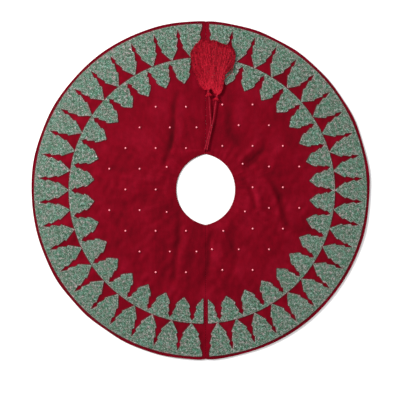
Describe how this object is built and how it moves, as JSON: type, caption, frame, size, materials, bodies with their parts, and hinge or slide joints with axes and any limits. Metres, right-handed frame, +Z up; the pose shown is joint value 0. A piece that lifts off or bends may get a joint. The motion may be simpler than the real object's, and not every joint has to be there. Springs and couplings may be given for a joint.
{
  "type": "tree skirt",
  "caption": "Round red velvet tree skirt in two halves, with a trunk hole, a back slit, rings of beaded fir trees, pearls, a piped hem and tasselled ties.",
  "frame": {"origin": "centre of the trunk hole on the seam line, at the underside of the lining", "axes": "+Z up, away from the floor; +Y from the hole towards the slit; +X towards the right half"},
  "size_m": [1.2199, 1.22, 0.0181],
  "materials": {
    "velvet": "cut-pile velvet",
    "lining": "plain woven",
    "interlining": "matt non-woven",
    "green_beads": "small glossy seed and tube beads",
    "pearl": "pearlescent",
    "piping": "bias-cut velvet",
    "cotton_cord": "twisted cotton",
    "tie_cord": "twisted satin cord",
    "tassel_yarn": "soft shiny yarn",
    "thread": "sewing thread"
  },
  "bodies": {
    "right_half": {"velvet_right": "velvet", "lining_right": "lining", "beadwork_backing_right": "interlining", "neck_stay_tape_right": "interlining", "outer_tree_border_right": "green_beads", "inner_tree_border_right": "green_beads", "pearls_right": "pearl", "hem_piping_right": "piping", "hem_filler_cord_right": "cotton_cord", "tie_tab_right": "velvet", "front_seam_thread": "thread"},
    "left_half": {"velvet_left": "velvet", "lining_left": "lining", "beadwork_backing_left": "interlining", "neck_stay_tape_left": "interlining", "outer_tree_border_left": "green_beads", "inner_tree_border_left": "green_beads", "pearls_left": "pearl", "hem_piping_left": "piping", "hem_filler_cord_left": "cotton_cord", "tie_tab_left": "velvet"},
    "right_tie_foot": {"tie_knot_right": "tie_cord"},
    "right_tie": {"tie_cord_right": "tie_cord", "tassel_ruff_right": "tassel_yarn", "tassel_binding_right": "tie_cord"},
    "right_fringe": {"tassel_fringe_right": "tassel_yarn"},
    "left_tie_foot": {"tie_knot_left": "tie_cord"},
    "left_tie": {"tie_cord_left": "tie_cord", "tassel_ruff_left": "tassel_yarn", "tassel_binding_left": "tie_cord"},
    "left_fringe": {"tassel_fringe_left": "tassel_yarn"}
  },
  "joints": [
    {"name": "seam_fold", "type": "hinge", "parent": "right_half", "child": "left_half", "pos_m": [0, 0, -0.0005], "axis": [0, 1, 0], "range_deg": [-179.5, 0]},
    {"name": "right_tie_swing", "type": "hinge", "parent": "right_half", "child": "right_tie_foot", "pos_m": [0.00501, 0.14519, 0.0135], "axis": [0, 0, 1], "range_deg": [-50, 0]},
    {"name": "right_tie_lift", "type": "hinge", "parent": "right_tie_foot", "child": "right_tie", "pos_m": [0.00501, 0.14519, 0.0135], "axis": [0.9743, -0.2253, 0], "range_deg": [0, 85]},
    {"name": "right_fringe_swing", "type": "hinge", "parent": "right_tie", "child": "right_fringe", "pos_m": [0.04091, 0.34188, 0.0135], "axis": [0, 0, 1], "range_deg": [-50, 0]},
    {"name": "left_tie_swing", "type": "hinge", "parent": "left_half", "child": "left_tie_foot", "pos_m": [-0.00201, 0.14681, 0.0135], "axis": [0, 0, 1], "range_deg": [0, 50]},
    {"name": "left_tie_lift", "type": "hinge", "parent": "left_tie_foot", "child": "left_tie", "pos_m": [-0.00201, 0.14681, 0.0135], "axis": [0.9743, -0.2253, 0], "range_deg": [0, 85]},
    {"name": "left_fringe_swing", "type": "hinge", "parent": "left_tie", "child": "left_fringe", "pos_m": [0.00965, 0.35889, 0.0135], "axis": [0, 0, 1], "range_deg": [0, 50]}
  ]
}
